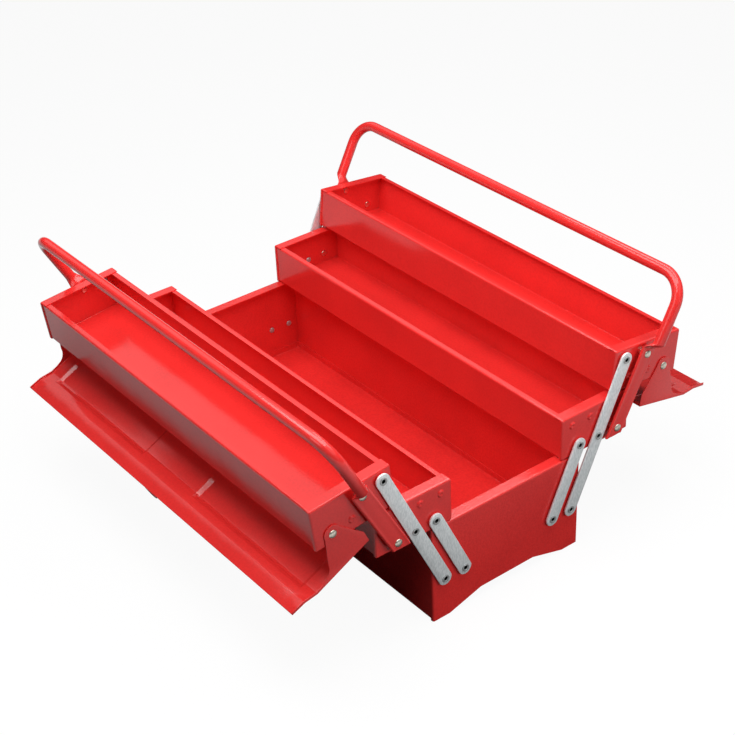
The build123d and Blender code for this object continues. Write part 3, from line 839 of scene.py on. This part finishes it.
def model_lid():
    """A lid in its own frame: its pivot is the X axis, its free edge toward +Y, its sheet below."""
    depth = LID_HEEL + LID_MAIN
    centre = (0, (LID_MAIN - LID_HEEL) / 2, -LID_REACH)
    lid = begin("lid_drawn", bpy.ops.mesh.primitive_plane_add, size=1, location=centre)
    scale(centre, x=2 * EAR_X, y=depth)
    pick("edges", lambda at, e: at.y > LID_MAIN - CLOSE)
    extrude(y=LID_BAND - LID_MAIN, z=BAND_RISE)
    extrude(y=LID_TIP - LID_BAND, z=TIP_RISE - BAND_RISE)
    cuts = [((x * sign, 0, 0), (1, 0, 0)) for x in PANEL_X for sign in (-1, 1)]
    cuts += [((0, y, 0), (0, 1, 0)) for y in (*PANEL_Y, EAR_FOOT)]
    for point, normal in cuts:
        bpy.ops.mesh.select_all(action="SELECT")
        bpy.ops.mesh.bisect(plane_co=point, plane_no=normal)
    for sign in (-1, 1):
        found = pick("faces", lambda at, f: PANEL_X[0] < sign * at.x < PANEL_X[1]
                     and PANEL_Y[0] < at.y < PANEL_Y[1])
        bpy.ops.mesh.inset(thickness=PANEL_WALL, depth=-PANEL_DEPTH)
        print("panel faces pressed:", found)
    for sign in (-1, 1):
        pick("edges", lambda at, e: abs(at.x - sign * EAR_X) < CLOSE)
        extrude(z=FLANGE)
        grow_ear(sign * EAR_X)
    return finish(lid)


# %% [markdown]
# ## Lids in their places
# Solidify gives the sheet its thickness, outward from the inner face, and a bevel rounds every
# fold. Both are applied before the lid is copied, so that each copy is a finished mesh. In the
# photograph the left lid hangs steeper than the right one, so each side has its own slope.

# %% Lids in their places
LID_SLOPE = {"right": math.radians(-12.0), "left": math.radians(-26.8)}
LID_SIDE = 1.0                            # Solidify's offset: the thickness goes outward
FOLD = 0.7 * MM


def add_lids():
    """Draw one lid, give it its thickness and folds, and hang a copy on each side."""
    drawn = model_lid()
    modify(drawn, "SOLIDIFY", thickness=SHEET, offset=LID_SIDE, use_even_offset=True)
    round_edges(drawn, FOLD, segments=3, angle=9)
    smooth(drawn, 50)
    for side in SIDES:
        at = PIVOTS[side]["lid"]
        turn = Matrix.Identity(4) if side == "right" else TURN
        slope = Matrix.Rotation(LID_SLOPE[side], 4, "X")
        place = Matrix.Translation((0, at.y, at.z)) @ turn @ slope
        lid = copy_of(drawn, f"{side}_pressed_lid", place)
        dress(lid, f"{side}_lid", "lid_paint", f"{side}_lid")
    discard(drawn)


add_lids()


# %% [markdown]
# ## Paper floor
# The photograph is a cut-out on white. A white floor would light the dark space under the trays
# from below. So the camera and reflections see bright paper, and what falls on the box as light
# comes from grey paper. Under the box the paper is in its shade, so there its reflection fades
# too, and around the box it keeps the shadow.

# %% Paper floor
PAPER_SEEN = 0.94              # share of its own white; the rest shows the shadow
PAPER_MIRRORED = 0.72          # the same share in reflections
PAPER_GREY = (0.06, 0.06, 0.06, 1)
WHITE = (1, 1, 1, 1)
PAPER_SIZE, PAPER_DROP = 12, 0.3 * MM
SHADE_REACH = 0.16             # metres over which the reflected paper brightens beside the box
END_REACH = 0.3                # the same past its ends


def add_floor():
    """A sheet of paper that looks white and lights little."""
    bpy.ops.mesh.primitive_plane_add(size=PAPER_SIZE, location=(0, 0, -PAPER_DROP))
    floor = bpy.context.object
    floor.name = "floor"
    paper = Finish(bpy.data.materials.new("paper"))
    camera_ray, glossy, clear = [paper.ray(kind) for kind in ("Camera", "Glossy", "Transmission")]
    at = paper.node("ShaderNodeTexCoord", output="Object")
    beyond_end = abs(paper.axis(at, 0)) - cad_box[1][0]
    beyond_side = abs(paper.axis(at, 1)) - cad_box[1][1]
    past_end = beyond_end.between(0.0, END_REACH)
    past_side = beyond_side.between(-SHADE_REACH / 2, SHADE_REACH)
    open_floor = past_end.math("MAXIMUM", past_end, past_side)
    matt_colour = paper.mix(camera_ray, PAPER_GREY, WHITE)
    matt = paper.node("ShaderNodeBsdfDiffuse", None, {"Color": matt_colour})
    bright = paper.node("ShaderNodeEmission", None, {"Color": WHITE, "Strength": 1.0})
    seen = camera_ray * PAPER_SEEN + (glossy + clear) * open_floor * PAPER_MIRRORED
    both = paper.node("ShaderNodeMixShader", None, {0: seen, 1: matt, 2: bright})
    paper.node("ShaderNodeOutputMaterial", None, {"Surface": both})
    floor.data.materials.append(paper.owner)
    print("floor:", PAPER_SIZE, "m square")


add_floor()


# %% [markdown]
# ## Sky
# Gloss paint shows what it mirrors. In the photograph the tray floors mirror something bright
# high up, and the left lid, which faces the other way, mirrors little. So in reflections this sky
# is bright only high up, and not toward -Y, the left lid's side. As a light it is dim, because
# the lamps do that work, and the camera sees white.

# %% Sky
SKY_LIGHT = 0.03
SKY_LOW, SKY_HIGH = 0.06, 0.96     # strength in reflections, outside and inside the bright part
BRIGHT_FROM = (0.40, 0.52)         # how far up a direction points where the brightness sets in
BRIGHT_SIDE = (-0.22, -0.16)       # and how far toward +Y it has to point


def add_sky():
    """A world that is white to the camera, patterned in reflections and dim as a light."""
    world = bpy.data.worlds.new("studio")
    bpy.context.scene.world = world
    sky = Finish(world)
    way = sky.node("ShaderNodeTexCoord", output="Generated")
    side, up = sky.axis(way, 1), sky.axis(way, 2)
    camera_ray, glossy, clear = [sky.ray(kind) for kind in ("Camera", "Glossy", "Transmission")]
    bright = up.between(*BRIGHT_FROM) * side.between(*BRIGHT_SIDE)
    mirrored = (bright * (SKY_HIGH - SKY_LOW) + SKY_LOW) * (glossy + clear)
    strength = camera_ray + mirrored + (1 - camera_ray - glossy - clear) * SKY_LIGHT
    back = sky.node("ShaderNodeBackground", None, {"Color": WHITE, "Strength": strength})
    sky.node("ShaderNodeOutputWorld", None, {"Surface": back})
    print("sky nodes:", len(sky.tree.nodes))


add_sky()


# %% [markdown]
# ## Lamps
# The light comes softly from above: floors, lids and the walls that face the middle are bright,
# while the left trays' outer walls, which turn away from it, are dark. Two wide lamps hang
# overhead. A faint one on the left lightens the shade a little, and a large one beyond the near
# end lights the end plates and links. That one stays out of reflections: being low, it would
# glare in the rims when the box is seen from its side.

# %% Lamps
LAMPS = [          # name, place and aim in metres, width and height in metres, watts, mirrored
    ("overhead", (0.05, -0.26, 1.05), (0.0, -0.05, 0.1), (1.2, 0.66), 11.4, True),
    ("overhead_right", (0.05, 0.45, 1.0), (0.0, 0.12, 0.1), (1.2, 0.3), 4.5, True),
    ("left_fill", (0.2, -1.1, 0.9), (0, -0.1, 0.12), (0.8, 0.5), 2.3, True),
    ("near_fill", (1.45, 0.35, 0.50), (0.1, 0, 0.10), (1.3, 0.9), 10.0, False),
]


def add_lamp(name, at, aim, size, watts, mirrored):
    """A soft rectangular lamp that points at a place."""
    lamp = bpy.data.lights.new(name, "AREA")
    lamp.shape, lamp.size, lamp.size_y, lamp.energy = "RECTANGLE", size[0], size[1], watts
    holder = bpy.data.objects.new(name, lamp)
    holder.location = at
    holder.rotation_euler = (Vector(aim) - Vector(at)).to_track_quat("-Z", "Y").to_euler()
    holder.visible_glossy = mirrored
    bpy.context.scene.collection.objects.link(holder)


for lamp_facts in LAMPS:
    add_lamp(*lamp_facts)
bpy.context.scene.view_settings.view_transform = "Standard"
print("lamps:", [lamp_facts[0] for lamp_facts in LAMPS])
